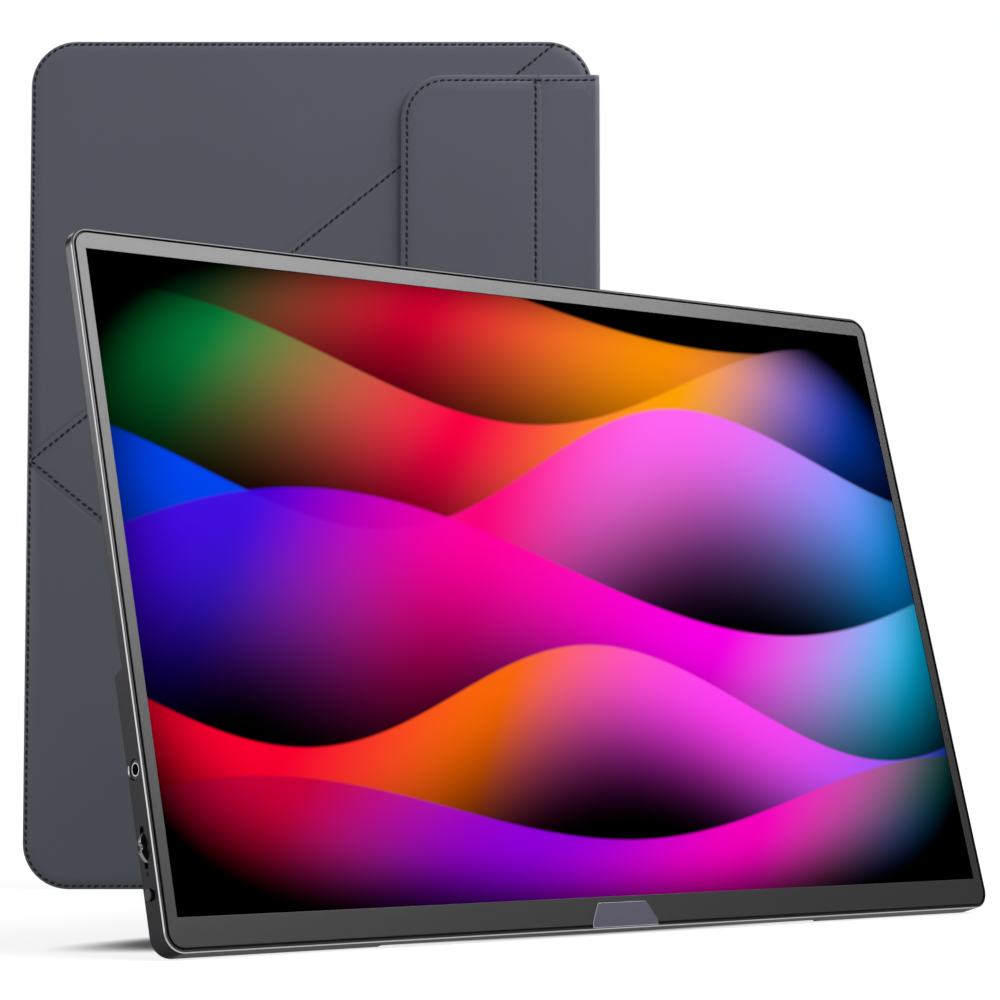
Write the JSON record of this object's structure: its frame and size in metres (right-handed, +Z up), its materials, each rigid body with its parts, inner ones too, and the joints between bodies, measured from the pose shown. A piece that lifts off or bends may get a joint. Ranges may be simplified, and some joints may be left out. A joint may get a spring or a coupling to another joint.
{
  "type": "portable monitor with cover",
  "caption": "Slim portable monitor leaning back on a fold-out foot plate, with its separate leather folio cover standing upright behind it, flap folded over the front.",
  "frame": {"origin": "middle of the front rubber strip under the open foot plate, on the table", "axes": "+X to the viewer's right, +Y away from the viewer behind the screen, +Z up"},
  "size_m": [0.3567, 0.3579, 0.362],
  "materials": {
    "shell_metal": "satin anodised",
    "bezel_metal": "satin anodised",
    "chin_metal": "fine satin",
    "black_plastic": "matte",
    "screen_glass": "hard coated",
    "white_film": "white film",
    "clear_acrylic": "clear",
    "smoked_lens": "smoked",
    "flex_film": "flexible circuit",
    "bright_steel": "bright",
    "foam": "foam",
    "circuit_board": "solder mask",
    "chip_plastic": "matte",
    "ring_chrome": "polished",
    "black_screw": "blackened",
    "plate_metal": "satin anodised",
    "pad_rubber": "matte",
    "control_metal": "dark anodised",
    "magnet_nickel": "nickel",
    "cover_leather": "smooth matte",
    "cover_lining": "fine napped microfibre",
    "cover_board": "raw"
  },
  "bodies": {
    "monitor": {"rear_shell": "shell_metal", "mid_frame": "black_plastic", "bezel": "bezel_metal", "chin_plate": "chin_metal", "lcd_cell": "screen_glass", "optical_sheets": "white_film", "light_guide": "clear_acrylic", "reflector_sheet": "white_film", "led_strip": "flex_film", "panel_tray": "bright_steel", "panel_pads": "foam", "panel_board": "circuit_board", "panel_cable": "flex_film", "main_board": "circuit_board", "board_chips": "chip_plastic", "board_shield": "bright_steel", "port_board": "circuit_board", "link_cable": "flex_film", "usb_c_sockets": "bright_steel", "mini_hdmi_socket": "bright_steel", "headphone_jack": "black_plastic", "jack_ring": "ring_chrome", "power_switch": "chip_plastic", "jog_switch": "chip_plastic", "light_pipe": "smoked_lens", "speakers": "black_plastic", "hinge_brackets": "bright_steel", "hinge_pins": "bright_steel", "hinge_screws": "bright_steel", "board_screws": "bright_steel", "case_screws": "black_screw"},
    "kickstand": {"kickstand_plate": "plate_metal", "kickstand_pads": "pad_rubber"},
    "power_button": {"power_button": "control_metal"},
    "jog_cradle": {"jog_cradle": "chip_plastic"},
    "jog_wheel": {"jog_wheel": "control_metal"},
    "cover_centre": {"centre_board": "cover_board", "centre_skin": "cover_leather", "centre_lining": "cover_lining", "spine_fold": "cover_leather", "panel_magnets": "magnet_nickel"},
    "cover_upper": {"upper_board": "cover_board", "upper_skin": "cover_leather", "upper_lining": "cover_lining"},
    "cover_lower": {"lower_board": "cover_board", "lower_skin": "cover_leather", "lower_lining": "cover_lining"},
    "cover_strip": {"strip_board": "cover_board", "strip_skin": "cover_leather", "strip_lining": "cover_lining"},
    "cover_flap": {"flap_board": "cover_board", "flap_skin": "cover_leather", "flap_lining": "cover_lining", "flap_magnets": "magnet_nickel"}
  },
  "joints": [
    {"name": "kickstand_hinge", "type": "hinge", "parent": "monitor", "child": "kickstand", "pos_m": [0, -0.012, 0.0026], "axis": [1, 0, 0], "range_deg": [-35, 74.5]},
    {"name": "power_button_press", "type": "slide", "parent": "monitor", "child": "power_button", "axis": [1, 0, 0], "range_m": [0, 0.00035], "stiffness_N_per_m": 3000, "springref_m": -0.0002},
    {"name": "jog_press", "type": "slide", "parent": "monitor", "child": "jog_cradle", "axis": [1, 0, 0], "range_m": [0, 0.0004], "stiffness_N_per_m": 3000, "springref_m": -0.0002},
    {"name": "jog_turn", "type": "hinge", "parent": "jog_cradle", "child": "jog_wheel", "pos_m": [-0.1731, -0.00628, 0.03297], "axis": [0, -0.9636, 0.2672], "range_deg": [-8, 8], "stiffness_Nm_per_rad": 0.02},
    {"name": "cover_lift", "type": "slide", "parent": "monitor", "child": "cover_centre", "axis": [0, 0, 1], "range_m": [0, 0.4]},
    {"name": "upper_fold", "type": "hinge", "parent": "cover_centre", "child": "cover_upper", "pos_m": [-0.02663, 0.33775, 0.181], "axis": [-0.6111, 0.4826, -0.6275], "range_deg": [0, 125]},
    {"name": "lower_fold", "type": "hinge", "parent": "cover_centre", "child": "cover_lower", "pos_m": [-0.02663, 0.33775, 0.181], "axis": [0.6111, -0.4826, -0.6275], "range_deg": [0, 125]},
    {"name": "spine_turn", "type": "hinge", "parent": "cover_centre", "child": "cover_strip", "pos_m": [0.16138, 0.18615, 0.181], "axis": [0, 0, 1], "range_deg": [0, 180], "deforming": ["spine_fold"]},
    {"name": "flap_turn", "type": "hinge", "parent": "cover_strip", "child": "cover_flap", "pos_m": [0.1411, 0.19904, 0.181], "axis": [0, 0, 1], "range_deg": [0, 90]}
  ]
}
